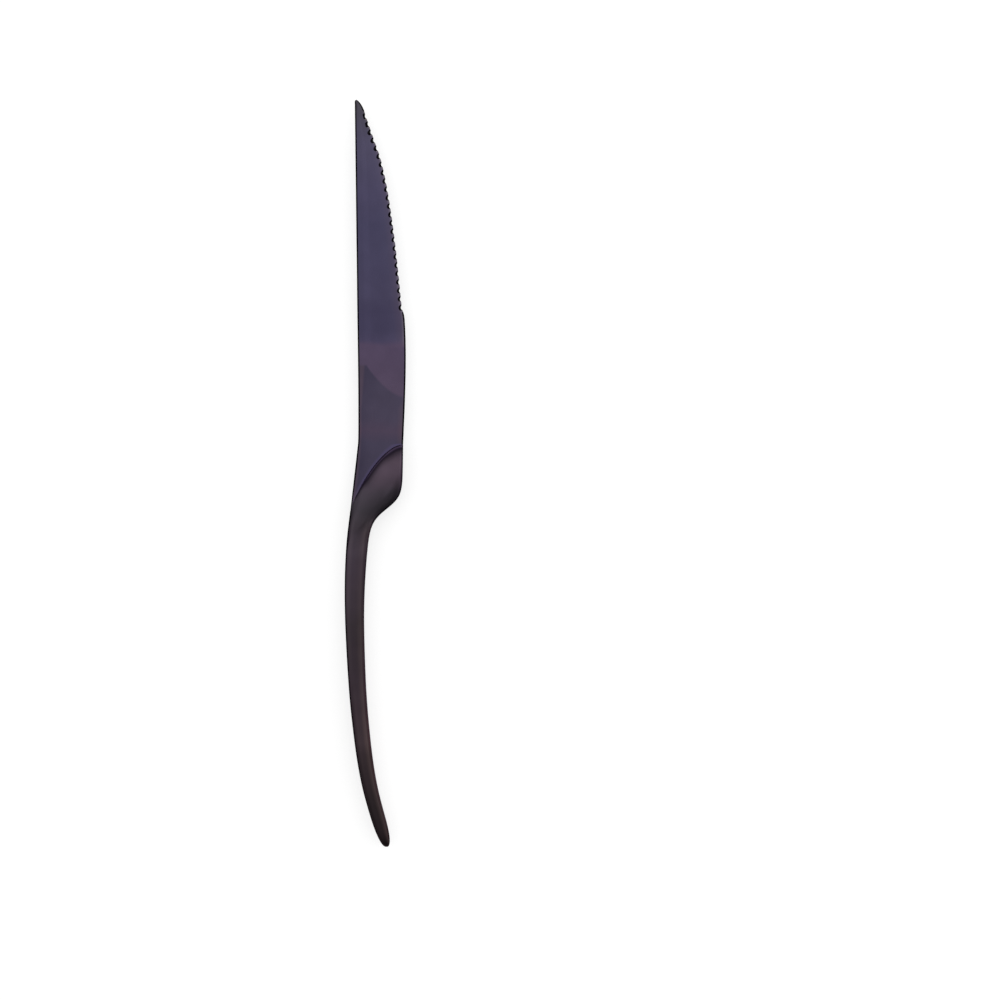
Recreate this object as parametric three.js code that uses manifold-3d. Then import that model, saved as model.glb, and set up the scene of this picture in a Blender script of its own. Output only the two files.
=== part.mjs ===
import * as THREE from "three";
import { mergeVertices } from "three/addons/utils/BufferGeometryUtils.js";
import Module from "manifold-3d";

const wasm = await Module();
wasm.setup();

// A serrated table knife with a hollow handle, lying on its left face. +Y runs to the tip, +X to the
// cutting edge and +Z out of the right face of the blade. Sizes are in millimetres. A station is a
// distance behind the mouth of the handle, measured on the edge side, so the blade has negative ones.

// Blade
const BLADE_LENGTH = 117.8;
const BLADE_WIDTH = 15.4;
const BLADE_THICKNESS = 2;
const EDGE_THICKNESS = 0.5;
const SHARP_THICKNESS = 0.2;
const EDGE_BEVEL = 0.55;
const SPINE_LEAN = 1.1;
const SPINE_FLAT = 2.9;
const SPINE_ROUND = 0.4;
const BELLY = 1.1;
const PLAIN_EDGE = 42.7;
const PLAIN_EDGE_RISE = 0.55;
const EDGE_STEP = 0.95;
const EDGE_STEP_LENGTH = 3.7;
const TIP_LENGTH = 4.6;
const TIP_WIDTH = 3.45;
const TIP_ROUND = 0.7;
const PLUNGE_AT_SPINE = 27;
const PLUNGE_AT_EDGE = 16;
const PLUNGE_SAG = 2.2;
const PLUNGE_RUN = 5;

// Teeth: round gullets ground across the edge from the right face
const TOOTH_PITCH = 2.9;
const TOOTH_DEPTH = 0.33;
const GULLET_RADIUS = 1.6;
const GULLET_TILT = THREE.MathUtils.degToRad(50);
const FIRST_GULLET = 1.1;

// Handle outline
const HANDLE_LENGTH = 137.2;
const BACK_BOW = 4.55;
const BOW_AT = 50;
const TAIL_SWEEP = 11.9;
const NECK_WIDTH = 7.4;
const NECK_AT = 32;
const GRIP_WIDTH = 6.45;
const GRIP_AT = 61;
const TAIL_WIDTH = 4.8;
const HEEL_AT = 21.6;
const HEEL_SOFTNESS = 2.2;
const HEEL_TAPER = 0.02;
const NOSE_LENGTH = 11;
const NOSE_BLUNTNESS = 2.5;

// Slanted mouth, where the shells meet the blade
const MOUTH_RAKE = 23;
const RAKE_FADE = 78;
const MOUTH_SPINE_PULL = 6;
const MOUTH_SPINE_TURN = THREE.MathUtils.degToRad(11);
const MOUTH_EDGE_PULL = 7.4;
const MOUTH_BULGE_FADE = 30;

// Handle section
const MOUTH_DEPTH = 6.2;
const BULB_DEPTH = 8.4;
const BULB_AT = 11;
const NECK_DEPTH = 7.2;
const GRIP_DEPTH = 9;
const FULLEST_AT = 95;
const TAIL_DEPTH = 6;
const SQUARENESS = 2.3;
const GRIP_SQUARENESS = 3;
const FRONT_ROUND = 3.2;
const FRONT_SQUARENESS = 2;
const LIP_EDGE = 0.25;
const RIM_LAND = 0.25;
const RIM_FADE = 30;

// Shells, filling and joints
const WALL = 0.8;
const FRONT_WALL = 1;
const TAIL_WALL = 3;
const SEAM = 0.1;
const BRAZE = 0.2;
const CLEARANCE = 0.25;
const SEAT_DEPTH = 1.6;
const SEAT_RELIEF = 0.15;
const SEAT_GROOVE = 0.2;
const OVERCUT = 1;
const TANG_WIDTH = 2.6;
const TANG_END_WIDTH = 1.8;
const TANG_LENGTH = 78;
const ROOT_BED = 0.7;
const KEY_HOLE = 4;
const KEY_HOLE_AT = 12;

// Fineness of the facets
const ACROSS_STEPS = 14;
const CAVITY_STEPS = 8;
const FRONT_STEPS = 4;
const BULB_STEP = 2.4;
const GRIP_STEP = 6.5;
const NOSE_STEPS = 7;
const BEVEL_STEP = 4;
const TIP_STEP = 0.8;
const ROOT_STEP = 3;
const SPINE_STEP = 8;
const GULLET_SIDES = 24;
const ROUND_STEPS = 2;

const lerp = THREE.MathUtils.lerp;
const clamp = THREE.MathUtils.clamp;
const smoothstep = THREE.MathUtils.smoothstep;
const halfBlade = BLADE_THICKNESS / 2;
const halfTang = halfBlade - SEAT_RELIEF;

// A smooth curve through [station, value] pairs
function profile(pairs) {
  const stations = pairs.map((pair) => pair[0]);
  const values = pairs.map((pair) => pair[1]);
  const curve = new THREE.CubicInterpolant(stations, values, 1);
  return (station) => curve.evaluate(station)[0];
}

// Stations from one end of a stretch to the other, the last one left out
function stretch(from, to, step) {
  const count = Math.max(1, Math.round((to - from) / step));
  return Array.from({ length: count }, (_, i) => lerp(from, to, i / count));
}

function solidOf(geometry) {
  const bare = geometry.clone();
  bare.deleteAttribute("normal");
  bare.deleteAttribute("uv");
  const merged = mergeVertices(bare, 1e-4);
  return new wasm.Manifold(new wasm.Mesh({
    numProp: 3,
    vertProperties: new Float32Array(merged.attributes.position.array),
    triVerts: new Uint32Array(merged.index.array),
  }));
}

function geometryOf(solid) {
  const mesh = solid.getMesh();
  const geometry = new THREE.BufferGeometry();
  geometry.setAttribute("position", new THREE.BufferAttribute(mesh.vertProperties, 3));
  geometry.setIndex(new THREE.BufferAttribute(mesh.triVerts, 1));
  geometry.computeVertexNormals();
  return geometry;
}

// A closed skin between two grids of points: rows run to the tail, columns run to the edge
function gridSolid(top, bottom) {
  const corners = [];
  const quad = (a, b, c, d) => corners.push(a, b, c, a, c, d);
  const last = top.length - 1;
  const right = top[0].length - 1;
  for (let i = 0; i < last; i += 1) {
    for (let j = 0; j < right; j += 1) {
      quad(top[i][j], top[i + 1][j], top[i + 1][j + 1], top[i][j + 1]);
      quad(bottom[i][j], bottom[i][j + 1], bottom[i + 1][j + 1], bottom[i + 1][j]);
    }
    quad(top[i + 1][0], top[i][0], bottom[i][0], bottom[i + 1][0]);
    quad(top[i][right], top[i + 1][right], bottom[i + 1][right], bottom[i][right]);
  }
  for (let j = 0; j < right; j += 1) {
    quad(top[0][j], top[0][j + 1], bottom[0][j + 1], bottom[0][j]);
    quad(top[last][j + 1], top[last][j], bottom[last][j], bottom[last][j + 1]);
  }
  return solidOf(new THREE.BufferGeometry().setFromPoints(corners));
}

// Plan of the handle

const backX = profile([
  [-BLADE_LENGTH, -SPINE_LEAN],
  [-0.42 * BLADE_LENGTH, -0.25 * SPINE_LEAN],
  [-0.1 * BLADE_LENGTH, 0.12 * SPINE_LEAN],
  [0, 0],
  [0.2 * BOW_AT, -0.22 * BACK_BOW],
  [0.42 * BOW_AT, -0.53 * BACK_BOW],
  [0.68 * BOW_AT, -0.87 * BACK_BOW],
  [BOW_AT, -BACK_BOW],
  ...[[0.25, 0.06], [0.5, 0.205], [0.75, 0.48], [1, 1]].map(([along, swing]) => [
    lerp(BOW_AT, HANDLE_LENGTH, along),
    swing * TAIL_SWEEP - BACK_BOW,
  ]),
]);

const handleWidth = profile([
  [0, NECK_WIDTH],
  [NECK_AT, NECK_WIDTH],
  [GRIP_AT, GRIP_WIDTH],
  [HANDLE_LENGTH, TAIL_WIDTH],
]);

// The heel carries on the line of the blade's edge, then sweeps in to the neck
function edgeX(station) {
  const heel = 1 / (1 + Math.exp((station - HEEL_AT) / HEEL_SOFTNESS));
  const underside = backX(station) + handleWidth(station);
  return lerp(underside, BLADE_WIDTH - HEEL_TAPER * station, heel);
}

// Sections slant at the mouth, where the spine end lies further back, and straighten along the handle
function spineStation(station) {
  const slant = Math.max(0, 1 - station / RAKE_FADE);
  return station + MOUTH_RAKE * slant * slant;
}

function spinePoint(station) {
  const behind = spineStation(station);
  return new THREE.Vector2(backX(behind), -behind);
}

function edgePoint(station) {
  return new THREE.Vector2(edgeX(station), -station);
}

function chord(station) {
  return spinePoint(station).distanceTo(edgePoint(station));
}

const mouthSpine = spinePoint(0);
const mouthEdge = edgePoint(0);
const mouthCurve = new THREE.CubicBezierCurve(
  mouthSpine,
  new THREE.Vector2(Math.sin(MOUTH_SPINE_TURN), Math.cos(MOUTH_SPINE_TURN))
    .multiplyScalar(MOUTH_SPINE_PULL)
    .add(mouthSpine),
  new THREE.Vector2(mouthEdge.x - MOUTH_EDGE_PULL, mouthEdge.y),
  mouthEdge,
);

// A point of the plan, by its station and its share of the way from the back to the edge side
function planPoint(station, across) {
  const point = spinePoint(station).lerp(edgePoint(station), across);
  if (across > 0 && across < 1) {
    const straight = mouthSpine.clone().lerp(mouthEdge, across);
    const bulge = mouthCurve.getPoint(across).sub(straight);
    point.addScaledVector(bulge, 1 - smoothstep(station, 0, MOUTH_BULGE_FADE));
  }
  return point;
}

// Share of the full width that is left as a form rounds off towards its end
function noseShare(station, end, length, bluntness) {
  const along = clamp((station - end + length) / length, 0, 1);
  return (1 - along ** bluntness) ** (1 / bluntness);
}

// Rows of a rounded end, which stop just short of the point
function noseStations(end, length) {
  const short = 0.35;
  return Array.from({ length: NOSE_STEPS }, (_, i) => {
    const turn = ((i + 1) / (NOSE_STEPS + short)) * (Math.PI / 2);
    return end - length * (1 - Math.sin(turn));
  });
}

// Section of the handle

const halfDepth = profile([
  [0, MOUTH_DEPTH / 2],
  [BULB_AT, BULB_DEPTH / 2],
  [NECK_AT, NECK_DEPTH / 2],
  [FULLEST_AT, GRIP_DEPTH / 2],
  [HANDLE_LENGTH, TAIL_DEPTH / 2],
]);

// Share of the width over which the section rolls down to the back, and to the edge side
const spineRoll = profile([[0, 0.12], [0.6 * NECK_AT, 0.38], [NECK_AT, 0.5]]);
const edgeRoll = profile([
  [0, 0.06],
  [0.48 * HEEL_AT, 0.1],
  [0.67 * HEEL_AT, 0.27],
  [0.82 * HEEL_AT, 0.62],
  [0.97 * HEEL_AT, 0.9],
  [1.15 * HEEL_AT, 0.8],
  [1.35 * HEEL_AT, 0.58],
  [1.6 * HEEL_AT, 0.5],
]);

function rollOff(share, squareness) {
  const rest = 1 - clamp(share, 0, 1);
  return (1 - rest ** squareness) ** (1 / squareness);
}

// The outline's own height above the middle plane: a lip over the blade that fades into the seam
function rimHeight(station) {
  const lip = halfTang + BRAZE + LIP_EDGE;
  return lerp(lip, RIM_LAND, smoothstep(station, SEAT_DEPTH + CLEARANCE, RIM_FADE));
}

function rounding(station, share) {
  const squareness = lerp(SQUARENESS, GRIP_SQUARENESS, smoothstep(station, HEEL_AT, GRIP_AT));
  const back = rollOff(share / spineRoll(station), squareness);
  return back * rollOff((1 - share) / edgeRoll(station), squareness);
}

// How far the crown has risen a given way behind the front
function frontRise(behind) {
  return rollOff(behind / FRONT_ROUND, FRONT_SQUARENESS);
}

function outerHeight(station, share) {
  const rim = rimHeight(station);
  const crown = halfDepth(station) * noseShare(station, HANDLE_LENGTH, NOSE_LENGTH, NOSE_BLUNTNESS);
  const rise = Math.max(0, crown - rim) * frontRise(station);
  return rim + rise * rounding(station, share);
}

// Shares of the width, closer together where the section turns down
function acrossShares(steps) {
  return Array.from({ length: steps + 1 }, (_, j) => (1 - Math.cos((Math.PI * j) / steps)) / 2);
}

function handleStations(front, end) {
  const frontRows = stretch(0, Math.PI / 2, Math.PI / 2 / FRONT_STEPS);
  const bulbEnd = front + FRONT_ROUND;
  const neckEnd = 1.2 * NECK_AT;
  return [
    ...frontRows.map((turn) => front + FRONT_ROUND * (1 - Math.cos(turn))),
    ...stretch(bulbEnd, neckEnd, BULB_STEP),
    ...stretch(neckEnd, end - NOSE_LENGTH, GRIP_STEP),
    end - NOSE_LENGTH,
    ...noseStations(end, NOSE_LENGTH),
  ];
}

function handlePlan(station, share) {
  const nose = noseShare(station, HANDLE_LENGTH, NOSE_LENGTH, NOSE_BLUNTNESS);
  return planPoint(station, 0.5 + (share - 0.5) * nose);
}

function grid(stations, shares, plan, height) {
  return stations.map((station) => shares.map((share) => {
    const point = plan(station, share);
    return new THREE.Vector3(point.x, point.y, height(station, share));
  }));
}

function handleForm(floor, roof) {
  const stations = handleStations(0, HANDLE_LENGTH);
  const shares = acrossShares(ACROSS_STEPS);
  return gridSolid(
    grid(stations, shares, handlePlan, roof),
    grid(stations, shares, handlePlan, () => floor),
  );
}

// The hollow of the shells, a given distance inside the outline, down to a given floor
function cavityForm(inset, floor) {
  const spare = inset - WALL;
  const front = FRONT_WALL + spare;
  const end = HANDLE_LENGTH - TAIL_WALL - spare;
  const nose = (station) => noseShare(station, end, NOSE_LENGTH, NOSE_BLUNTNESS);
  const plan = (station, share) => {
    const room = 1 - (2 * inset) / chord(station);
    return planPoint(station, 0.5 + (share - 0.5) * room * nose(station));
  };
  const roof = (station, share) => {
    const crown = (halfDepth(station) - inset) * nose(station);
    return crown * frontRise(station - front) * rounding(station, share);
  };
  const base = (station, share) => floor(roof(station, share));
  const stations = handleStations(front, end);
  const shares = acrossShares(CAVITY_STEPS);
  const lift = SEAM / 2;
  return gridSolid(
    grid(stations, shares, plan, (station, share) => lift + roof(station, share)),
    grid(stations, shares, plan, base),
  );
}

// A band across the blade's root, wider than the blade, between two heights
function rootBand(stations, low, high) {
  const overhang = OVERCUT / chord(0);
  const shares = [-overhang, ...acrossShares(ACROSS_STEPS), 1 + overhang];
  return gridSolid(
    grid(stations, shares, planPoint, () => high),
    grid(stations, shares, planPoint, () => low),
  );
}

// The full width of the blade behind the mouth, where the shells close over it
function seatForm(halfHeight) {
  return rootBand([-OVERCUT, SEAT_DEPTH / 2, SEAT_DEPTH + CLEARANCE], -halfHeight, halfHeight);
}

// What thins one face of the blade's seat and tang, from a fine groove ahead of the mouth
function reliefForm(side) {
  const stations = [-SEAT_GROOVE, SEAT_DEPTH, NECK_AT, TANG_LENGTH + OVERCUT];
  const clear = halfBlade + OVERCUT;
  return side > 0 ? rootBand(stations, halfTang, clear) : rootBand(stations, -clear, -halfTang);
}

// Blade

const plainEnd = new THREE.Vector2(BLADE_WIDTH + PLAIN_EDGE_RISE, PLAIN_EDGE);
const toothHeel = new THREE.Vector2(plainEnd.x - EDGE_STEP, PLAIN_EDGE + EDGE_STEP_LENGTH);
const toothTip = new THREE.Vector2(TIP_WIDTH - SPINE_LEAN, BLADE_LENGTH - TIP_LENGTH);
const tipTop = new THREE.Vector2(TIP_ROUND - SPINE_LEAN, BLADE_LENGTH);

const plainEdge = new THREE.CubicBezierCurve(
  mouthEdge,
  new THREE.Vector2(BLADE_WIDTH + 0.55 * BELLY, 0.33 * PLAIN_EDGE),
  new THREE.Vector2(BLADE_WIDTH + 1.3 * BELLY, 0.7 * PLAIN_EDGE),
  plainEnd,
);
const edgeStep = new THREE.QuadraticBezierCurve(
  plainEnd,
  new THREE.Vector2(plainEnd.x - 0.1 * EDGE_STEP, lerp(plainEnd.y, toothHeel.y, 0.55)),
  toothHeel,
);
const toothedEdge = new THREE.SplineCurve(
  [[0, 0], [0.325, 0.175], [0.585, 0.369], [0.754, 0.556], [0.871, 0.763], [1, 1]].map(
    ([along, fall]) => new THREE.Vector2(
      lerp(toothHeel.x, toothTip.x, fall),
      lerp(toothHeel.y, toothTip.y, along),
    ),
  ),
);
const tipEdge = new THREE.QuadraticBezierCurve(
  toothTip,
  new THREE.Vector2(toothTip.x, lerp(toothTip.y, tipTop.y, 0.5)),
  tipTop,
);
const tipNose = new THREE.QuadraticBezierCurve(
  tipTop,
  new THREE.Vector2(-SPINE_LEAN, BLADE_LENGTH),
  new THREE.Vector2(-SPINE_LEAN, BLADE_LENGTH - TIP_ROUND),
);

// The whole cutting side from the mouth to the tip, before the teeth are cut
const cuttingSide = [
  ...plainEdge.getPoints(10),
  ...edgeStep.getPoints(5).slice(1),
  ...toothedEdge.getPoints(20).slice(1),
  ...tipEdge.getPoints(8).slice(1),
];

function cuttingX(y) {
  const next = cuttingSide.findIndex((point) => point.y >= y);
  if (next < 1) {
    return cuttingSide.at(next).x;
  }
  const before = cuttingSide[next - 1];
  const after = cuttingSide[next];
  return lerp(before.x, after.x, (y - before.y) / (after.y - before.y));
}

// Half the tang's width: wide at the root in the bulb, then a narrow strip
function tangHalf(station) {
  const root = chord(station) / 2 - WALL - 2 * CLEARANCE - ROOT_BED;
  const along = clamp((station - NECK_AT) / (TANG_LENGTH - NECK_AT), 0, 1);
  const strip = lerp(TANG_WIDTH, TANG_END_WIDTH, along) / 2;
  return lerp(root, strip, smoothstep(station, SEAT_DEPTH, NECK_AT));
}

// The tang's two sides, grown by a clearance where it is the pocket in the filling. The spine's side
// starts within the seat, because the seat runs out thin there.
function tangSides(grown) {
  const end = TANG_LENGTH + grown;
  const stations = [
    ...stretch(SEAT_DEPTH, NECK_AT, ROOT_STEP),
    ...stretch(NECK_AT, TANG_LENGTH - TANG_WIDTH, SPINE_STEP),
    ...[1, 0.6, 0.3, 0.1, 0.02].map((share) => end - share * TANG_WIDTH),
  ];
  const place = (station, sideways) => {
    const round = noseShare(station, end, TANG_WIDTH, 2);
    const half = (tangHalf(station) + grown) * round;
    return planPoint(station, 0.5 + (sideways * half) / chord(station));
  };
  return {
    spine: [0.75 * SEAT_DEPTH, ...stations].map((station) => place(station, -1)),
    edge: stations.map((station) => place(station, 1)),
    front: [0.75, 0.5, 0.25, 0, -0.25, -0.5, -0.75].map((sideways) => place(SEAT_DEPTH / 2, sideways)),
  };
}

function keyHole(radius) {
  const centre = planPoint(KEY_HOLE_AT, 0.5);
  return new THREE.Path().absarc(centre.x, centre.y, radius, 0, 2 * Math.PI, true);
}

// A flat piece of a given plan, centred on the middle plane, with its corners rounded over
function plate(outline, hole, thickness, round) {
  const shape = new THREE.Shape(outline);
  shape.holes.push(hole);
  const geometry = new THREE.ExtrudeGeometry(shape, {
    depth: thickness - 2 * round,
    curveSegments: 10,
    bevelEnabled: round > 0,
    bevelThickness: round,
    bevelSize: round,
    bevelOffset: -round,
    bevelSegments: ROUND_STEPS,
  });
  return solidOf(geometry.translate(0, 0, round - thickness / 2));
}

function bladeBlank() {
  const tang = tangSides(0);
  const spineRows = [
    ...stretch(-spineStation(0), 0, ROOT_STEP),
    ...stretch(0, BLADE_LENGTH - TIP_ROUND, SPINE_STEP),
  ];
  const outline = [
    ...cuttingSide.slice(0, -1),
    ...tipNose.getPoints(4),
    ...spineRows.reverse().map((y) => new THREE.Vector2(backX(-y), y)),
    ...tang.spine,
    ...tang.edge.reverse(),
    edgePoint(SEAT_DEPTH),
  ];
  return plate(outline, keyHole(KEY_HOLE / 2), BLADE_THICKNESS, SPINE_ROUND);
}

// What grinding takes off one face: from the ridge beside the spine down to the edge, running out in
// a curved plunge ahead of the mouth
function grindForm(side) {
  const clear = halfBlade + OVERCUT;
  const reach = BLADE_LENGTH - PLUNGE_AT_EDGE;
  const rows = [
    ...stretch(0, PLUNGE_RUN, PLUNGE_RUN / 4),
    ...stretch(PLUNGE_RUN, reach - TIP_LENGTH, BEVEL_STEP),
    ...stretch(reach - TIP_LENGTH, reach, TIP_STEP),
    reach,
  ].map((ahead) => bevelRow(ahead));
  const end = rows.at(-1).map((point) => point.clone().setY(point.y + OVERCUT));
  const floor = [...rows, end].reverse();
  const roof = floor.map((row) => row.map((point) => point.clone().setZ(clear)));
  if (side > 0) {
    return gridSolid(roof, floor);
  }
  const under = (points) => points.map((row) => row.map((point) => point.clone().setZ(-point.z)));
  return gridSolid(under(floor), under(roof));
}

// One line of the ground face, from the ridge to beyond the edge, a given way ahead of the plunge
function bevelRow(ahead) {
  const progress = ahead / (BLADE_LENGTH - PLUNGE_AT_EDGE);
  const edgeY = PLUNGE_AT_EDGE + ahead;
  const ridgeY = lerp(PLUNGE_AT_SPINE, BLADE_LENGTH, progress);
  const edge = new THREE.Vector2(cuttingX(edgeY), edgeY);
  const width = edge.x - backX(-edgeY);
  const ridge = new THREE.Vector2(backX(-ridgeY) + Math.min(SPINE_FLAT, 0.4 * width), ridgeY);
  const depth = smoothstep(ahead, 0, PLUNGE_RUN);
  const toothed = edgeY > toothHeel.y && edgeY < toothTip.y;
  const bevelShare = Math.min(0.3, EDGE_BEVEL / ridge.distanceTo(edge));
  const finish = lerp(halfBlade, (toothed ? EDGE_THICKNESS : SHARP_THICKNESS) / 2, depth);
  const row = [0, 0.35, 0.7 * (1 - bevelShare), 1 - bevelShare].map((share) => {
    const point = ridge.clone().lerp(edge, share);
    const sag = PLUNGE_SAG * 4 * share * (1 - share) * (1 - progress) ** 4;
    const drop = (halfBlade - EDGE_THICKNESS / 2) * share * depth;
    return new THREE.Vector3(point.x, point.y - sag, halfBlade - drop);
  });
  row.push(new THREE.Vector3(edge.x, edge.y, finish));
  row.push(new THREE.Vector3(edge.x + OVERCUT, edge.y, finish));
  return row;
}

// One round gullet: it leans so that it bites deeper into the right face than through the edge
function gullet(distance) {
  const along = 1 - distance / toothedEdge.getLength();
  const point = toothedEdge.getPointAt(along);
  const tangent = toothedEdge.getTangentAt(along);
  const outward = new THREE.Vector3(tangent.y, -tangent.x, 0);
  const up = new THREE.Vector3(0, 0, 1);
  const lean = (share, rise) => outward.clone().multiplyScalar(share).addScaledVector(up, rise);
  const axis = lean(Math.cos(GULLET_TILT), -Math.sin(GULLET_TILT));
  const away = lean(Math.sin(GULLET_TILT), Math.cos(GULLET_TILT));
  const length = 4 * GULLET_RADIUS;
  const geometry = new THREE.CylinderGeometry(GULLET_RADIUS, GULLET_RADIUS, length, GULLET_SIDES);
  const standing = new THREE.Vector3(0, 1, 0);
  geometry.applyQuaternion(new THREE.Quaternion().setFromUnitVectors(standing, axis));
  const centre = new THREE.Vector3(point.x, point.y, -EDGE_THICKNESS / 2)
    .addScaledVector(outward, -TOOTH_DEPTH)
    .addScaledVector(away, GULLET_RADIUS);
  geometry.translate(centre.x, centre.y, centre.z);
  return solidOf(geometry);
}

function makeBlade() {
  let blade = bladeBlank();
  for (const side of [1, -1]) {
    blade = blade.subtract(grindForm(side)).subtract(reliefForm(side));
  }
  for (let distance = FIRST_GULLET; distance < toothedEdge.getLength(); distance += TOOTH_PITCH) {
    blade = blade.subtract(gullet(distance));
  }
  return blade;
}

// Handle pieces

function makeShell() {
  return handleForm(SEAM / 2, outerHeight)
    .subtract(cavityForm(WALL, () => -OVERCUT))
    .subtract(seatForm(halfTang + BRAZE));
}

function makeSeam() {
  return handleForm(-SEAM / 2, () => SEAM / 2)
    .subtract(cavityForm(WALL, () => -OVERCUT))
    .subtract(seatForm(halfTang + BRAZE));
}

function makeFiller() {
  const tang = tangSides(CLEARANCE);
  const pocket = plate(
    [...tang.spine, ...tang.edge.reverse(), ...tang.front],
    keyHole(KEY_HOLE / 2 - CLEARANCE),
    2 * (halfTang + CLEARANCE),
    0,
  );
  return cavityForm(WALL + CLEARANCE, (roof) => -SEAM / 2 - roof)
    .subtract(pocket)
    .subtract(seatForm(halfTang + CLEARANCE));
}

// The line of braze that the shell's front lip stands on
function makeMouthBraze() {
  const stations = [0, FRONT_WALL];
  const shares = acrossShares(ACROSS_STEPS);
  return gridSolid(
    grid(stations, shares, planPoint, () => halfTang + BRAZE),
    grid(stations, shares, planPoint, () => halfTang),
  );
}

function piece(name, solid, color, roughness, metalness) {
  const material = new THREE.MeshStandardMaterial({ color, roughness, metalness });
  const mesh = new THREE.Mesh(geometryOf(solid), material);
  mesh.name = name;
  return mesh;
}

const VIOLET_STEEL = 0x46425a;
const BROWN_STEEL = 0x3a3239;
const BRAZE_METAL = 0x2a2628;
const CEMENT = 0x8c8880;

const shell = makeShell();
const braze = makeMouthBraze();
const knife = new THREE.Group();
const leftFace = new THREE.Group();
leftFace.scale.z = -1;
leftFace.add(piece("handle_shell_left", shell, BROWN_STEEL, 0.35, 1));
leftFace.add(piece("mouth_braze_left", braze, BRAZE_METAL, 0.45, 1));
knife.add(
  piece("blade", makeBlade(), VIOLET_STEEL, 0.3, 1),
  piece("handle_shell_right", shell, BROWN_STEEL, 0.35, 1),
  piece("mouth_braze_right", braze, BRAZE_METAL, 0.45, 1),
  piece("seam_braze", makeSeam(), BRAZE_METAL, 0.45, 1),
  piece("handle_filler", makeFiller(), CEMENT, 0.9, 0),
  leftFace,
);

// The origin is under the middle of the knife as it lies
const box = new THREE.Box3().setFromObject(knife);
knife.position.set(-(box.min.x + box.max.x) / 2, -(box.min.y + box.max.y) / 2, -box.min.z);

const part = new THREE.Group();
part.add(knife);

export default part;
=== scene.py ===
import bisect
import math
from functools import partial

import bmesh
import bpy
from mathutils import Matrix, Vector


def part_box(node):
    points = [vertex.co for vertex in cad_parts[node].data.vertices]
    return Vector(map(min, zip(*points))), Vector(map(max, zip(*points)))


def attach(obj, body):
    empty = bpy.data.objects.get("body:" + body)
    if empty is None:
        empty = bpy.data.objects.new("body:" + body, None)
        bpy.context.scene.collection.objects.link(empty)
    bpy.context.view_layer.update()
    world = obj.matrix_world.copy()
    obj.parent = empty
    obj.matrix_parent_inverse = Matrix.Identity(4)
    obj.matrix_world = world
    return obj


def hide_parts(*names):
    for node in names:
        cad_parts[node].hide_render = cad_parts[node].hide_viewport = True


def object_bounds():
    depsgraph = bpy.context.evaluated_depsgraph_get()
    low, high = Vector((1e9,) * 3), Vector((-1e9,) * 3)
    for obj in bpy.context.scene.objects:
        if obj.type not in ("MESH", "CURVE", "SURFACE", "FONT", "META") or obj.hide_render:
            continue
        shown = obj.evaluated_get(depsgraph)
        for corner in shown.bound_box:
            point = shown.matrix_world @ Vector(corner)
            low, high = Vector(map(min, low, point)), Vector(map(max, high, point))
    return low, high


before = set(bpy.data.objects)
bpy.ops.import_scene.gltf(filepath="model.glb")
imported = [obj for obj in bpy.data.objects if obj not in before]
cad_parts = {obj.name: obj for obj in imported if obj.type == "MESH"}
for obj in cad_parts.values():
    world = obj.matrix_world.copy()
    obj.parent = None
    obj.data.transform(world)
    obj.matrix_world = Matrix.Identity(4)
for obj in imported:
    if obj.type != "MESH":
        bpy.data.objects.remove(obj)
cad_low, cad_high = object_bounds()

# A serrated table knife with a hollow handle, lying on its left face and seen from above. +Y runs to
# the tip, +X to the cutting edge and +Z out of the right face. Sizes of the knife are in millimetres.
# A station is a distance behind the mouth of the handle, measured on the edge side.
MM = 0.001

# Draws the finer meshes in a hair, so that they stay inside the box of the solids
SNUG = (0.999, 0.9997, 0.999)

# Blade
BLADE_LENGTH = 117.8
BLADE_WIDTH = 15.4
BLADE_THICKNESS = 2
EDGE_THICKNESS = 0.5
SHARP_THICKNESS = 0.2
EDGE_BEVEL = 0.55
SPINE_LEAN = 1.1
SPINE_FLAT = 2.9
SPINE_ROUND = 0.55
EDGE_ROUND = 0.5
BELLY = 1.1
PLAIN_EDGE = 42.7
PLAIN_EDGE_RISE = 0.55
EDGE_STEP = 0.95
EDGE_STEP_LENGTH = 3.7
TIP_LENGTH = 4.6
TIP_WIDTH = 3.45
TIP_ROUND = 0.7
PLUNGE_AT_SPINE = 27
PLUNGE_AT_EDGE = 16
PLUNGE_SAG = 2.2
PLUNGE_RUN = 5

# Teeth
TOOTH_PITCH = 2.9
TOOTH_DEPTH = 0.33
GULLET_RADIUS = 1.6
GULLET_TILT = math.radians(36)
GULLET_REACH = 0.26
FIRST_GULLET = 1.1
LAND = 0.03
# Painted shade in the gullets: black on each one's tip side and this share of a pitch past its middle
SHADE_REACH = 0.22
TOOTH_FADES = (0.5, 0.25)

# Most that a form takes up where the blade narrows, as shares of the width, the bevel or the height,
# and where the bevel's first row lies, as a share of the flat by the spine
RIDGE_LIMIT = 0.4
ROUND_LIMIT = 0.25
LAND_LIMIT = 0.3
TURN_LIMIT = 0.7
BROW = 1.1

# Handle outline
HANDLE_LENGTH = 137.2
BACK_BOW = 4.55
BOW_AT = 50
TAIL_SWEEP = 11.9
NECK_WIDTH = 7.4
NECK_AT = 32
GRIP_WIDTH = 6.45
GRIP_AT = 61
TAIL_WIDTH = 4.8
HEEL_AT = 21.6
HEEL_SOFTNESS = 2.2
HEEL_TAPER = 0.01
NOSE_LENGTH = 11
NOSE_BLUNTNESS = 2.5

# Slanted mouth
MOUTH_RAKE = 23
RAKE_FADE = 78
MOUTH_SPINE_PULL = 6
MOUTH_SPINE_TURN = math.radians(11)
MOUTH_EDGE_PULL = 7.4
MOUTH_BULGE_FADE = 30

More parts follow.
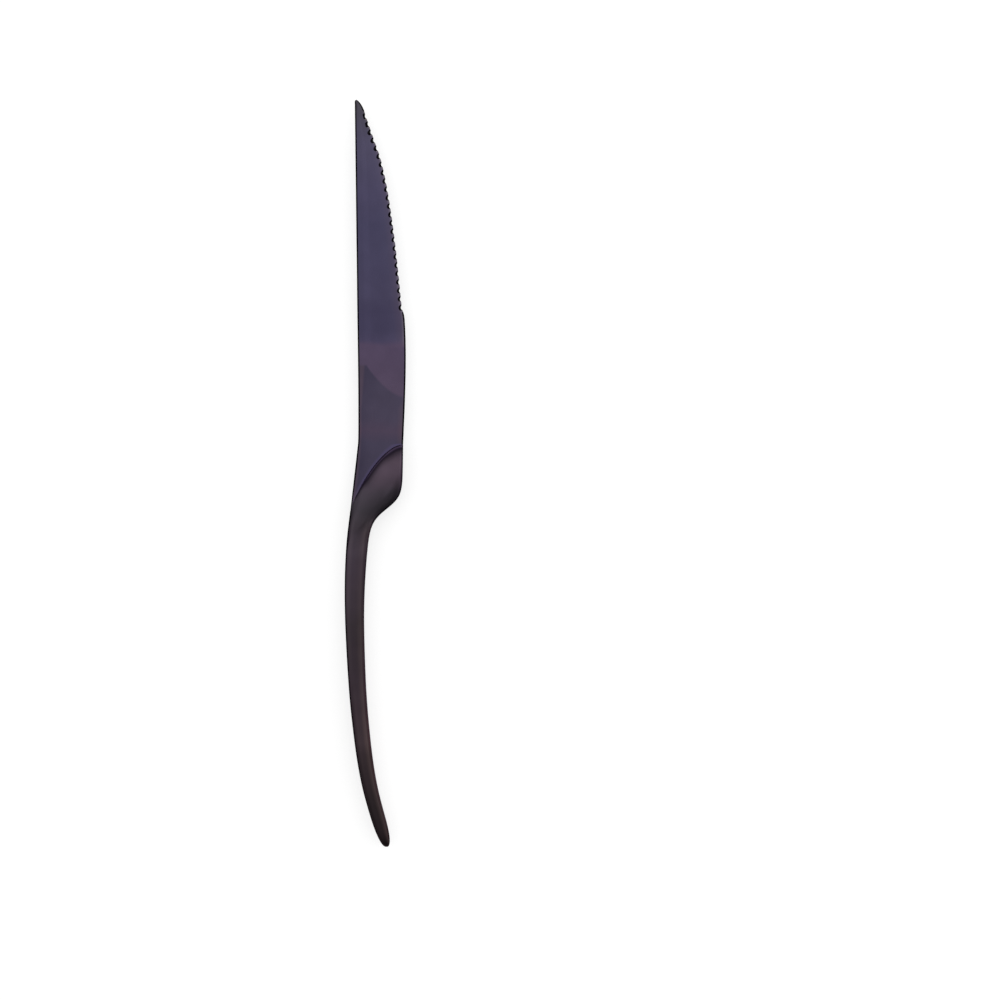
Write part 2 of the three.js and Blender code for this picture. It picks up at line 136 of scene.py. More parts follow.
# Handle section
MOUTH_DEPTH = 6.2
BULB_DEPTH = 8.4
BULB_AT = 11
NECK_DEPTH = 7.2
GRIP_DEPTH = 9
FULLEST_AT = 95
TAIL_DEPTH = 6
SQUARENESS = 2.3
GRIP_SQUARENESS = 3
FRONT_ROUND = 3.2
FRONT_SQUARENESS = 2
FRONT_REACH = 1.2
LIP_START = 0.3
BLUNT_START = 0.5
BLUNT_REACH = 3
BLUNT_SHARES = (0.22, 0.5)
LIP_EDGE = 0.25
RIM_LAND = 0.25
RIM_FADE = 30

# How far in from either side the section rolls off, as shares of its width, by stations counted in
# distances to the neck or to the heel
SPINE_ROLLS = ((0, 0.12), (0.6, 0.38), (1, 0.5))
EDGE_ROLLS = (
    (0, 0.06),
    (0.48, 0.1),
    (0.67, 0.27),
    (0.82, 0.62),
    (0.97, 0.9),
    (1.15, 0.8),
    (1.35, 0.58),
    (1.6, 0.5),
)

# Shells and joints
WALL = 0.8
FRONT_WALL = 1
TAIL_WALL = 3
SEAM = 0.1
SEAM_RECESS = 0.04
BRAZE = 0.2
CLEARANCE = 0.25
SEAT_DEPTH = 1.6
SEAT_RELIEF = 0.15
SEAT_GROOVE = 0.2
TANG_WIDTH = 2.6
TANG_END_WIDTH = 1.8
TANG_LENGTH = 78
ROOT_BED = 0.7
CAVITY_SLIT = 0.05
KEY_HOLE = 4
KEY_HOLE_AT = 12

# Braze in front of a shell's lip: places in widths of the groove, and shares of the braze's height
FILLET = ((-0.95, 0.62), (-0.5, 0.7), (-0.15, 0.85), (0, 1), (FRONT_WALL / SEAT_GROOVE, 1))

# Painted shade behind the mouth, a dark line, by shares across: where it thins, where it widens
# and where it fades out
LINE_THIN = 4
LINE_THIN_SHARES = (0.2, 0.5)
LINE_WIDE = 1.45
LINE_WIDE_SHARES = (0.68, 0.84)
LINE_FADE = 3
LINE_FADE_SHARES = (0.12, 0.27)

# Fineness of the meshes
ACROSS_STEPS = 56
FRONT_STEPS = 10
BULB_STEP = 0.6
GRIP_STEP = 1.6
NOSE_STEPS = 24
BEVEL_STEPS = 14
ROUND_STEPS = 4
ROWS_PER_TOOTH = 20
EDGE_ROW = 0.7
CURVE_STEPS = 200
KEY_HOLE_SIDES = 48
ROOT_SHARE = 0.012
TIP_END = 0.995
STEP_LEAN = 0.01
BLADE_CREASE = 12
CREASE = 30

# The blade's third surface coordinate at the mouth, far below what it is near the grinding
UNGROUND = -100

# Photograph: its size, the pixel level with the mouth's edge end on the spine's line, and its scale
PHOTO_SIZE = 1000
KNIFE_AT_PIXEL = (358, 445)
MM_PER_PIXEL = 0.34137
CAMERA_LENS = 135

# Studio, in metres
FLOOR_SIZE = 8
FLOOR_GLOW = 0.7
SIDE_BOX_AT = (1.4, 0.35, 0.6)
SIDE_BOX_SIZE = 0.9
SIDE_BOX_LEVEL = 0.7
SKY_SPAN = (-0.9, 0.1)
SKY_LEVELS = (0.15, 1.22)

half_blade = BLADE_THICKNESS / 2
half_tang = half_blade - SEAT_RELIEF
half_edge = EDGE_THICKNESS / 2


def lerp(a, b, share):
    return a + (b - a) * share


def clamp(value, low=0.0, high=1.0):
    return min(high, max(low, value))


def smoothstep(value, low, high):
    share = clamp((value - low) / (high - low))
    return share * share * (3 - 2 * share)


def profile(pairs):
    """A smooth curve through (station, value) pairs."""
    stations, values = zip(*pairs)
    spans = [b - a for a, b in zip(stations, stations[1:])]
    secants = [(b - a) / span for a, b, span in zip(values, values[1:], spans)]
    slopes = [secants[0], *((a + b) / 2 for a, b in zip(secants, secants[1:])), secants[-1]]

    def value(station):
        station = clamp(station, stations[0], stations[-1])
        i = min(bisect.bisect_right(stations, station), len(spans)) - 1
        t = (station - stations[i]) / spans[i]
        start = (1 + 2 * t) * (1 - t) ** 2 * values[i] + t * (1 - t) ** 2 * spans[i] * slopes[i]
        end = (3 - 2 * t) * t**2 * values[i + 1] - (1 - t) * t**2 * spans[i] * slopes[i + 1]
        return start + end

    return value


def stretch(start, end, step):
    """Places from one end of a stretch to the other, the last one left out."""
    count = max(1, round((end - start) / step))
    return [lerp(start, end, i / count) for i in range(count)]


def bezier(points, share):
    while len(points) > 1:
        points = [a.lerp(b, share) for a, b in zip(points, points[1:])]
    return points[0]


def spline(points, share):
    """A point of the smooth curve through evenly timed points."""
    last = len(points) - 1
    i = min(int(share * last), last - 1)
    t = share * last - i
    before, start, end, after = (points[clamp(i + k, 0, last)] for k in (-1, 0, 1, 2))
    leave = (end - before) / 2
    arrive = (after - start) / 2
    cubic = 2 * start - 2 * end + leave + arrive
    square = 3 * end - 3 * start - 2 * leave - arrive
    return cubic * t**3 + square * t**2 + leave * t + start


# Plan of the handle

back_x = profile(
    [
        (-BLADE_LENGTH, -SPINE_LEAN),
        (-0.42 * BLADE_LENGTH, -0.25 * SPINE_LEAN),
        (-0.1 * BLADE_LENGTH, 0.12 * SPINE_LEAN),
        (0, 0),
        (0.2 * BOW_AT, -0.2 * BACK_BOW),
        (0.42 * BOW_AT, -0.53 * BACK_BOW),
        (0.68 * BOW_AT, -0.87 * BACK_BOW),
        (BOW_AT, -BACK_BOW),
        *(
            (lerp(BOW_AT, HANDLE_LENGTH, along), swing * TAIL_SWEEP - BACK_BOW)
            for along, swing in ((0.25, 0.06), (0.5, 0.205), (0.75, 0.48), (1, 1))
        ),
    ]
)
handle_width = profile(
    [(0, NECK_WIDTH), (NECK_AT, NECK_WIDTH), (GRIP_AT, GRIP_WIDTH), (HANDLE_LENGTH, TAIL_WIDTH)]
)


def edge_x(station):
    """The heel carries on the line of the blade's edge, then sweeps in to the neck."""
    heel = 1 / (1 + math.exp((station - HEEL_AT) / HEEL_SOFTNESS))
    underside = back_x(station) + handle_width(station)
    return lerp(underside, BLADE_WIDTH - HEEL_TAPER * station, heel)


def spine_station(station):
    """Sections slant at the mouth, where the spine end lies further back."""
    slant = max(0, 1 - station / RAKE_FADE)
    return station + MOUTH_RAKE * slant * slant


def spine_point(station):
    behind = spine_station(station)
    return Vector((back_x(behind), -behind))


def edge_point(station):
    return Vector((edge_x(station), -station))


def chord(station):
    return (edge_point(station) - spine_point(station)).length


mouth_spine = spine_point(0)
mouth_edge = edge_point(0)
mouth_curve = [
    mouth_spine,
    mouth_spine + MOUTH_SPINE_PULL * Vector((math.sin(MOUTH_SPINE_TURN), math.cos(MOUTH_SPINE_TURN))),
    mouth_edge - MOUTH_EDGE_PULL * Vector((1, 0)),
    mouth_edge,
]


def plan_point(station, across):
    """A point of the plan, by its station and its share of the way from the back to the edge side."""
    point = spine_point(station).lerp(edge_point(station), across)
    if 0 < across < 1:
        bulge = bezier(mouth_curve, across) - mouth_spine.lerp(mouth_edge, across)
        point += bulge * (1 - smoothstep(station, 0, MOUTH_BULGE_FADE))
    return point


def behind_mouth(station, share):
    """How far a point of the plan lies behind the mouth's curve, square to it."""
    nudge = 0.01
    along = plan_point(0, min(1, share + nudge)) - plan_point(0, max(0, share - nudge))
    offset = plan_point(station, share) - plan_point(0, share)
    return offset.dot(Vector((along.y, -along.x)).normalized())


def row_share(point):
    """Share of the way from the back to the edge side, straight across the handle."""
    back, front = back_x(-point.y), edge_x(-point.y)
    return (point.x - back) / (front - back)


def nose_share(station, end, length, bluntness):
    """Share of the full width that is left as a form rounds off towards its end."""
    along = clamp((station - end + length) / length)
    return (1 - along**bluntness) ** (1 / bluntness)


# Section of the handle

half_depth = profile(
    [
        (0, MOUTH_DEPTH / 2),
        (BULB_AT, BULB_DEPTH / 2),
        (NECK_AT, NECK_DEPTH / 2),
        (FULLEST_AT, GRIP_DEPTH / 2),
        (HANDLE_LENGTH, TAIL_DEPTH / 2),
    ]
)
spine_roll = profile([(along * NECK_AT, share) for along, share in SPINE_ROLLS])
edge_roll = profile([(along * HEEL_AT, share) for along, share in EDGE_ROLLS])


def roll_off(share, squareness):
    rest = 1 - clamp(share)
    return (1 - rest**squareness) ** (1 / squareness)


def rim_height(station):
    """The outline's own height: a lip over the blade that fades into the seam."""
    lip = half_tang + BRAZE + LIP_EDGE
    return lerp(lip, RIM_LAND, smoothstep(station, SEAT_DEPTH + CLEARANCE, RIM_FADE))


def rounding(station, share):
    squareness = lerp(SQUARENESS, GRIP_SQUARENESS, smoothstep(station, HEEL_AT, GRIP_AT))
    back = roll_off(share / spine_roll(station), squareness)
    return back * roll_off((1 - share) / edge_roll(station), squareness)


def outer_nose(station):
    return nose_share(station, HANDLE_LENGTH, NOSE_LENGTH, NOSE_BLUNTNESS)


def cavity_nose(station):
    return nose_share(station, HANDLE_LENGTH - TAIL_WALL, NOSE_LENGTH, NOSE_BLUNTNESS)


def front_rise(station, share):
    """Share of the height reached behind the mouth: a round lip that turns blunt towards the spine."""
    behind = behind_mouth(station, share)
    round_off = roll_off(min(station / FRONT_ROUND, behind / FRONT_REACH), FRONT_SQUARENESS)
    lip = lerp(LIP_START, 1, round_off)
    blunt = lerp(BLUNT_START, 1, clamp(behind / BLUNT_REACH))
    return lerp(blunt, lip, smoothstep(share, *BLUNT_SHARES))


def outer_height(station, share):
    rim = rim_height(station)
    rise = max(0, half_depth(station) * outer_nose(station) - rim)
    return rim + rise * rounding(station, share) * front_rise(station, share)


def slot_height(station):
    """Underside of the shell: over the blade at the mouth, and at the seam behind it."""
    return half_tang + BRAZE if station < SEAT_DEPTH + CLEARANCE else SEAM / 2


def cavity_height(station, share):
    crown = (half_depth(station) - WALL) * cavity_nose(station)
    front = roll_off((station - FRONT_WALL) / FRONT_ROUND, FRONT_SQUARENESS)
    roof = min(crown * front * rounding(station, share), outer_height(station, share) - WALL)
    return max(slot_height(station), SEAM / 2 + roof)


def outline_point(station, share, recess=0):
    across = (share - 0.5) * (1 - 2 * recess / chord(station))
    return plan_point(station, 0.5 + across * outer_nose(station))


def cavity_point(station, share):
    """A point of the hollow's plan, which closes to a slit in the solid tail."""
    room = (1 - 2 * WALL / chord(station)) * max(CAVITY_SLIT, cavity_nose(station))
    return plan_point(station, 0.5 + (share - 0.5) * room * outer_nose(station))


def across_shares(steps):
    return [(1 - math.cos(math.pi * j / steps)) / 2 for j in range(steps + 1)]


def handle_stations():
    quarter = math.pi / 2
    front_turns = stretch(0, quarter, quarter / FRONT_STEPS)
    nose_turns = [(i + 1) / (NOSE_STEPS + 0.3) * quarter for i in range(NOSE_STEPS)]
    step = SEAT_DEPTH + CLEARANCE
    neck_end = 1.2 * NECK_AT
    nose = HANDLE_LENGTH - NOSE_LENGTH
    return [
        *(FRONT_ROUND * (1 - math.cos(turn)) for turn in front_turns),
        step - STEP_LEAN,
        *stretch(step + STEP_LEAN, neck_end, BULB_STEP),
        *stretch(neck_end, nose, GRIP_STEP),
        nose,
        *(nose + NOSE_LENGTH * math.sin(turn) for turn in nose_turns),
    ]


# Meshes

blade_low, blade_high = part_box("blade")
shell_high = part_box("handle_shell_right")[1]
knife_origin = Vector(
    (
        shell_high.x - mouth_edge.x * MM,
        shell_high.y,
        (blade_low.z + blade_high.z) / 2,
    )
)


def spot(point, height):
    """A point of the plan, at a height over the blade's middle plane, in the frame."""
    middle = (cad_low + cad_high) / 2
    place = knife_origin + MM * Vector((point.x, point.y, height))
    return middle + (place - middle) * Vector(SNUG)


def piece(name, points, faces, materials, slot, crease, *nodes, places=None, shades=None):
    """A closed mesh in place of some nodes of the frame.

    places are surface coordinates for the tints, and shades pick a material for each face.
    """
    mesh = bpy.data.meshes.new(name)
    mesh.from_pydata(points, [], faces)
    for material in materials:
        mesh.materials.append(material)
    if places:
        layer = mesh.attributes.new("place", "FLOAT_VECTOR", "POINT")
        layer.data.foreach_set("vector", [value for place in places for value in place])
    if shades:
        mesh.polygons.foreach_set("material_index", shades)
    made = bmesh.new()
    made.from_mesh(mesh)
    bmesh.ops.recalc_face_normals(made, faces=made.faces)
    made.to_mesh(mesh)
    made.free()
    mesh.shade_smooth()
    mesh.set_sharp_from_angle(angle=math.radians(crease))
    shown = bpy.data.objects.new(name, mesh)
    bpy.context.scene.collection.objects.link(shown)
    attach(shown, "root")
    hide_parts(*nodes)
    return shown


def grid_cell(i, j, across, closed=False):
    """Corners of a cell in a grid of points, whose rows may close on themselves."""
    beside = (j + 1) % across if closed else j + 1
    return (i * across + j, i * across + beside, (i + 1) * across + beside, (i + 1) * across + j)


def loft(loops):
    """Points and faces of a closed skin over loops that run along one side and back on the other."""
    around = len(loops[0])
    last = len(loops) - 1
    faces = [grid_cell(i, j, around, closed=True) for i in range(last) for j in range(around)]
    for end in (0, last * around):
        for j in range(around // 2 - 1):
            faces.append((end + j, end + j + 1, end + around - 2 - j, end + around - 1 - j))
    return [point for loop in loops for point in loop], faces


def plate(rows, thickness, filled):
    """Points and faces of a flat piece over the filled cells of a grid of plan points."""
    across = len(rows[0])
    points = [spot(point, side * thickness / 2) for side in (-1, 1) for row in rows for point in row]
    above = len(rows) * across
    faces = []
    walls = {}
    for i in range(len(rows) - 1):
        for j in range(across - 1):
            if filled(i, j):
                cell = grid_cell(i, j, across)
                faces.append(cell)
                faces.append(tuple(above + corner for corner in cell))
                for a, b in zip(cell, cell[1:] + cell[:1]):
                    key = (min(a, b), max(a, b))
                    walls[key] = key not in walls
    faces += [(a, b, above + b, above + a) for (a, b), outer in walls.items() if outer]
    used = sorted({corner for face in faces for corner in face})
    place = {corner: k for k, corner in enumerate(used)}
    return [points[k] for k in used], [tuple(place[corner] for corner in face) for face in faces]


# Blade

plain_end = Vector((BLADE_WIDTH + PLAIN_EDGE_RISE, PLAIN_EDGE))
tooth_heel = Vector((plain_end.x - EDGE_STEP, PLAIN_EDGE + EDGE_STEP_LENGTH))
tooth_tip = Vector((TIP_WIDTH - SPINE_LEAN, BLADE_LENGTH - TIP_LENGTH))
tip_top = Vector((TIP_ROUND - SPINE_LEAN, BLADE_LENGTH))

plain_edge = [
    mouth_edge,
    Vector((BLADE_WIDTH + 0.55 * BELLY, 0.33 * PLAIN_EDGE)),
    Vector((BLADE_WIDTH + 1.3 * BELLY, 0.7 * PLAIN_EDGE)),
    plain_end,
]
edge_step = [
    plain_end,
    Vector((plain_end.x - 0.1 * EDGE_STEP, lerp(plain_end.y, tooth_heel.y, 0.55))),
    tooth_heel,
]
toothed_edge = [
    Vector((lerp(tooth_heel.x, tooth_tip.x, fall), lerp(tooth_heel.y, tooth_tip.y, along)))
    for along, fall in ((0, 0), (0.325, 0.175), (0.585, 0.369), (0.754, 0.556), (0.871, 0.763), (1, 1))
]
tip_edge = [
    Vector((lerp(tooth_tip.x, tip_top.x, fall), lerp(tooth_tip.y, tip_top.y, along)))
    for along, fall in ((0, 0), (0.457, 0.145), (0.957, 0.727), (1, 1))
]


def toothed_point(share):
    return spline(toothed_edge, share)


def curve_length(curve):
    points = [curve(i / CURVE_STEPS) for i in range(CURVE_STEPS + 1)]
    return sum((b - a).length for a, b in zip(points, points[1:]))


def curve_rows(curve, step, plainness):
    """Points along a curve at about even steps, each with how plain the edge is there."""
    count = round(curve_length(curve) / step)
    return [(curve(i / count), plainness(i / count)) for i in range(count)]


def cutting_rows():
    """The cutting side from the mouth to the tip: point, outward direction, plainness and the distance
    along the edge from the start of the teeth at the tip."""
    root, step, tip = (partial(bezier, curve) for curve in (plain_edge, edge_step, tip_edge))
    tooth_row = TOOTH_PITCH / ROWS_PER_TOOTH
    heel_fade, tip_fade = TOOTH_FADES
    rows = [
        *curve_rows(lambda t: root(lerp(ROOT_SHARE, 1, t)), EDGE_ROW, lambda t: 1),
        *curve_rows(step, EDGE_ROW / 2, lambda t: 1 - smoothstep(t, heel_fade, 1)),
        *curve_rows(toothed_point, tooth_row, lambda t: 0),
        *curve_rows(tip, EDGE_ROW / 4, lambda t: smoothstep(t, 0, tip_fade)),
        (tip(TIP_END), 1),
    ]
    points = [point for point, _ in rows]
    gone = [0.0]
    for a, b in zip(points, points[1:]):
        gone.append(gone[-1] + (b - a).length)
    start = next(place for place, point in zip(gone, points) if point.y >= tooth_tip.y)
    made = []
    for i, (point, plain) in enumerate(rows):
        along = (points[min(i + 1, len(points) - 1)] - points[max(i - 1, 0)]).normalized()
        made.append((point, Vector((along.y, -along.x)), plain, start - gone[i]))
    return made


def spine_x(y):
    """The spine's line, which rounds over at the very tip."""
    turn = 1 - math.sqrt(clamp((BLADE_LENGTH - y) / TIP_ROUND))
    return back_x(-y) + TIP_ROUND * turn * turn


def past_plunge(share, y):
    """How far a point lies past the line where the grinding starts, by its share of the bevel."""
    return y - lerp(PLUNGE_AT_SPINE, PLUNGE_AT_EDGE, share) + PLUNGE_SAG * 4 * share * (1 - share)


def ground(share, y):
    return smoothstep(past_plunge(share, y), 0, PLUNGE_RUN)


def bevel_height(share, y):
    return half_blade - (half_blade - half_edge) * share * ground(share, y)


tooth_count = 1 + int((curve_length(toothed_point) - FIRST_GULLET) / TOOTH_PITCH)


def gullet_offset(distance):
    """How far the nearest gullet's floor lies beyond the edge line, at the left face."""
    nearest = clamp(round((distance - FIRST_GULLET) / TOOTH_PITCH), 0, tooth_count - 1)
    beside = min(abs(distance - FIRST_GULLET - nearest * TOOTH_PITCH), GULLET_RADIUS)
    sag = GULLET_RADIUS - math.sqrt(GULLET_RADIUS**2 - beside**2)
    return sag / math.sin(GULLET_TILT) - TOOTH_DEPTH


def shaded_black(distance, plain):
    """Whether the edge shows painted shade in black: where it is plain, and on the tip's side of a
    gullet.
    """
    phase = (distance - FIRST_GULLET) / TOOTH_PITCH
    return plain > 0.5 or phase - round(phase) < SHADE_REACH


def rounded(size):
    """Steps of a quarter round from the side to the face: how far in and how far down."""
    turns = [k * math.pi / 2 / ROUND_STEPS for k in range(ROUND_STEPS + 1)]
    return [(size * (1 - math.cos(turn)), size * (1 - math.sin(turn))) for turn in turns]


def ground_loop(edge, outward, plain, distance):
    """The section of the blade at a point of its edge, which the gullets cut from the right face."""
    spine = Vector((spine_x(edge.y), edge.y))
    width = edge.x - spine.x
    ridge = min(SPINE_FLAT, RIDGE_LIMIT * width)
    bevel = width - ridge
    slope = (half_blade - half_edge) / bevel
    finish = lerp(half_blade, lerp(half_edge, SHARP_THICKNESS / 2, plain), ground(1, edge.y))
    land = lerp(LAND, min(LAND_LIMIT * bevel, EDGE_BEVEL), plain)
    turn = lerp(LAND / 2, min(EDGE_ROUND, TURN_LIMIT * finish), plain)

    cut = gullet_offset(distance)
    tip = min(0, cut)
    corner = clamp(cut * math.tan(GULLET_TILT) - half_edge, 4 * LAND - half_edge, finish)
    bite = 0
    if corner < finish:
        run, fall = math.cos(GULLET_TILT), math.sin(GULLET_TILT)
        depth = (EDGE_THICKNESS - slope * cut) / (fall - slope * run)
        bite = max(cut - depth * run, -GULLET_REACH * width)
    right = ground_side(spine, edge, outward, ridge, min(tip - land, bite), tip, corner, turn)
    left = ground_side(spine, edge, outward, ridge, tip - land, tip, finish - slope * tip, turn)
    return both_faces(right, left)


def ground_side(spine, edge, outward, ridge, crease, tip, corner, turn):
    """One face of a section from spine to edge: plan points, heights and surface coordinates."""
    width = edge.x - spine.x
    into = Vector((1, 0))
    brow = BROW * ridge
    crease = min(crease, tip - 1.05 * turn)  # clear of the edge's round
    start = spine + into * brow
    creased = edge + outward * crease
    lowest = edge + outward * tip
    made = []

    def add(point, height, share):
        made.append((point, height, (share, edge.y, past_plunge(clamp(share), edge.y))))

    for inward, down in rounded(min(SPINE_ROUND, ROUND_LIMIT * width)):
        add(spine + into * inward, half_blade - down, inward / ridge - 1)
    for along in (0.9, 1):
        add(spine + into * ridge * along, half_blade, along - 1)
    for k in range(BEVEL_STEPS + 1):
        share = lerp((brow - ridge) / (width - ridge), 1 + crease / (width - ridge), k / BEVEL_STEPS)
        add(start.lerp(creased, k / BEVEL_STEPS), bevel_height(clamp(share), edge.y), share)
    add(creased.lerp(lowest - outward * turn, 0.5), lerp(made[-1][1], corner, 0.5), 1)
    for inward, down in rounded(turn)[::-1]:
        add(lowest - outward * inward, corner - down, 1)
    return made


def both_faces(right, left):
    loop = [(spot(point, height), place) for point, height, place in right]
    return loop + [(spot(point, -height), place) for point, height, place in left[::-1]]


def flat_loop(point_at, width, half, ahead=lambda share: 0):
    """A full section through a flat strip, whose plan points go by their share of the width.

    ahead is how far the strip lies ahead of the mouth, by the same share. The section has as many
    points as a ground one: two columns close to the edge's round stand for its crease and its land.
    """
    back, front = (min(size, ROUND_LIMIT * width) for size in (SPINE_ROUND, EDGE_ROUND))
    columns = BEVEL_STEPS + 2
    spread = [lerp(back / width, 1 - front / width, (k + 1) / (columns + 1)) for k in range(columns)]
    spread += [1 - 1.02 * front / width, 1 - 1.01 * front / width]
    made = [(inward / width, half - down) for inward, down in rounded(back)]
    made += [(share, half) for share in spread]
    made += [(1 - inward / width, half - down) for inward, down in rounded(front)[::-1]]
    side = []
    for share, height in made:
        point = point_at(share)
        inside = point.x - spine_x(point.y) - SPINE_FLAT
        across = inside / (BLADE_WIDTH - SPINE_FLAT if inside > 0 else SPINE_FLAT)
        side.append((point, height, (across, point.y, UNGROUND + ahead(share))))
    return both_faces(side, side)


def tang_half(station):
    """Half the tang's width: wide at the root in the bulb, then a narrow strip with a round end."""
    root = chord(station) / 2 - WALL - 2 * CLEARANCE - ROOT_BED
    along = clamp((station - NECK_AT) / (TANG_LENGTH - NECK_AT))
    strip = lerp(TANG_WIDTH, TANG_END_WIDTH, along) / 2
    half = lerp(root, strip, smoothstep(station, SEAT_DEPTH, NECK_AT))
    return half * nose_share(station, TANG_LENGTH, TANG_WIDTH, 2)


def root_loops():
    """Sections from the first ground row back to the mouth, over the seat and down the tang."""
    edge = bezier(plain_edge, ROOT_SHARE)
    spine = Vector((spine_x(edge.y), edge.y))
    loops = []
    for t in (0.1, 0.3, 0.5, 0.7, 0.85, 0.95, 1):
        point_at = lambda share: spine.lerp(edge, share).lerp(plan_point(-SEAT_GROOVE, share), t)
        ahead = lambda share: (point_at(share) - plan_point(-SEAT_GROOVE, share)).length
        loops.append(flat_loop(point_at, (point_at(1) - point_at(0)).length, half_blade, ahead))
    for station in (STEP_LEAN - SEAT_GROOVE, 0, SEAT_DEPTH / 2, SEAT_DEPTH):
        loops.append(flat_loop(lambda share: plan_point(station, share), chord(station), half_tang))
    end = [TANG_LENGTH - share * TANG_WIDTH for share in (1, 0.6, 0.3, 0.1, 0.02)]
    for station in [*stretch(SEAT_DEPTH, TANG_LENGTH - TANG_WIDTH, GRIP_STEP), *end]:
        part = 2 * tang_half(station) / chord(station)
        point_at = lambda share: plan_point(station, 0.5 + (share - 0.5) * part)
        loops.append(flat_loop(point_at, 2 * tang_half(station), half_tang))
    return loops


def cut_key_hole(blade):
    """The hole in the tang that keys it into the filling."""
    made = bmesh.new()
    bmesh.ops.create_cone(
        made,
        cap_ends=True,
        segments=KEY_HOLE_SIDES,
        radius1=KEY_HOLE / 2 * MM,
        radius2=KEY_HOLE / 2 * MM,
        depth=2 * BLADE_THICKNESS * MM,
    )
    mesh = bpy.data.meshes.new("key_hole")
    made.to_mesh(mesh)
    made.free()
    drill = bpy.data.objects.new("key_hole", mesh)
    drill.location = spot(plan_point(KEY_HOLE_AT, 0.5), 0)
    bpy.context.scene.collection.objects.link(drill)
    cut = blade.modifiers.new("key_hole", "BOOLEAN")
    cut.object = drill
    cut.operation = "DIFFERENCE"
    graph = bpy.context.evaluated_depsgraph_get()
    drilled = bpy.data.meshes.new_from_object(blade.evaluated_get(graph))
    blade.modifiers.remove(cut)
    blade.data = drilled
    bpy.data.objects.remove(drill)


def make_blade(tinted, black):
    """The blade, with painted shade in black on its spine, its edge and in the gullets."""
    rows = cutting_rows()[::-1]
    shaded_rows = [shaded_black(distance, plain) for _, _, plain, distance in rows]
    loops = [ground_loop(*row) for row in rows] + root_loops()
    points, faces = loft([[point for point, _ in loop] for loop in loops])
    places = [place for loop in loops for _, place in loop]
    around = len(loops[0])
    columns = around // 2
    crease = ROUND_STEPS + BEVEL_STEPS + 3
    # Faces drawn black are painted shade: the spine's round, and the edge where plain or on a gullet's
    # tip side
    shades = [1] * len(faces)
    for k in range((len(loops) - 1) * around):
        j = k % around
        column = j if j < columns else around - 2 - j
        unshaded = k // around < len(shaded_rows) and not shaded_rows[k // around]
        shades[k] = int(column < ROUND_STEPS or column >= crease and not unshaded)
    blade = piece(
        "steel_blade",
        points,
        faces,
        [tinted, black],
        "blade_steel",
        BLADE_CREASE,
        "blade",
        places=places,
        shades=shades,
    )
    cut_key_hole(blade)


# Handle


def shell_place(station, share):
    """Surface coordinates of a shell: across, along, and behind the mouth for its painted dark line."""
    point = outline_point(station, share)
    thin = lerp(LINE_THIN, 1, smoothstep(share, *LINE_THIN_SHARES))
    wide = lerp(1, LINE_WIDE, smoothstep(share, *LINE_WIDE_SHARES))
    fade = LINE_FADE * (1 - smoothstep(share, *LINE_FADE_SHARES))
    return (row_share(point), -point.y, behind_mouth(station, share) * thin / wide + fade)


def make_shell(side, material):
    """One pressed half shell: its outside, its hollow, and the rim that joins them."""
    stations = handle_stations()
    shares = across_shares(ACROSS_STEPS)
    across = len(shares)
    outer = [spot(outline_point(u, s), side * outer_height(u, s)) for u in stations for s in shares]
    inner = [spot(cavity_point(u, s), side * cavity_height(u, s)) for u in stations for s in shares]
    rim = {}
    points = outer + inner
    hollow = len(outer)

    def foot(i, j):
        """The shell's outline carried down to its underside."""
        if (i, j) not in rim:
            rim[i, j] = len(points)
            points.append(spot(outline_point(stations[i], shares[j]), side * slot_height(stations[i])))
        return rim[i, j]

    faces = []
    last = len(stations) - 1
    for i in range(last):
        for j in range(across - 1):
            cell = grid_cell(i, j, across)
            faces.append(cell)
            faces.append(tuple(hollow + corner for corner in cell))
    ring = [(i, 0) for i in range(last)] + [(last, j) for j in range(across - 1)]
    ring += [(i, across - 1) for i in range(last, 0, -1)] + [(0, j) for j in range(across - 1, 0, -1)]
    for a, b in zip(ring, ring[1:] + ring[:1]):
        top = [i * across + j for i, j in (a, b)]
        low = [foot(*a), foot(*b)]
        faces.append((top[0], top[1], low[1], low[0]))
        faces.append((low[0], low[1], hollow + top[1], hollow + top[0]))
    places = [shell_place(u, s) for u in stations for s in shares]
    places += places + [places[i * across + j] for i, j in rim]
    name = "right" if side > 0 else "left"
    node = f"handle_shell_{name}"
    piece(f"shell_{name}", points, faces, [material], "handle_steel", CREASE, node, places=places)


def make_seam(material):
    """The fine line of braze between the two shells, a little below their outline."""
    stations = [u for u in handle_stations() if u > SEAT_DEPTH + CLEARANCE]
    rows = []
    for station in stations:
        left, right = (outline_point(station, share, SEAM_RECESS) for share in (0, 1))
        rows.append([left, cavity_point(station, 0), cavity_point(station, 1), right])
    closed = HANDLE_LENGTH - TAIL_WALL
    points, faces = plate(rows, SEAM, lambda i, j: j != 1 or stations[i] > closed)
    piece("seam_line", points, faces, [material], "braze", CREASE, "seam_braze")


def make_mouth_line(side, material):
    """The braze under a shell's front lip, with its fillet in the groove of the blade."""
    loops = []
    for share in across_shares(ACROSS_STEPS):
        line = [(plan_point(place * SEAT_GROOVE, share), rise) for place, rise in FILLET]
        under = [spot(point, side * half_tang) for point, _ in line]
        over = [spot(point, side * (half_tang + BRAZE * rise)) for point, rise in line]
        loops.append(under + over[::-1])
    points, faces = loft(loops)
    name = "right" if side > 0 else "left"
    piece(f"mouth_line_{name}", points, faces, [material], "braze", CREASE, f"mouth_braze_{name}")


# Materials


def srgb(red, green, blue):
    """A colour as it shows on a screen, from 0 to 255, as linear light."""
    shares = [value / 255 for value in (red, green, blue)]
    return (*(s / 12.92 if s < 0.04045 else ((s + 0.055) / 1.055) ** 2.4 for s in shares), 1)


def grey(level):
    return (level, level, level, 1)
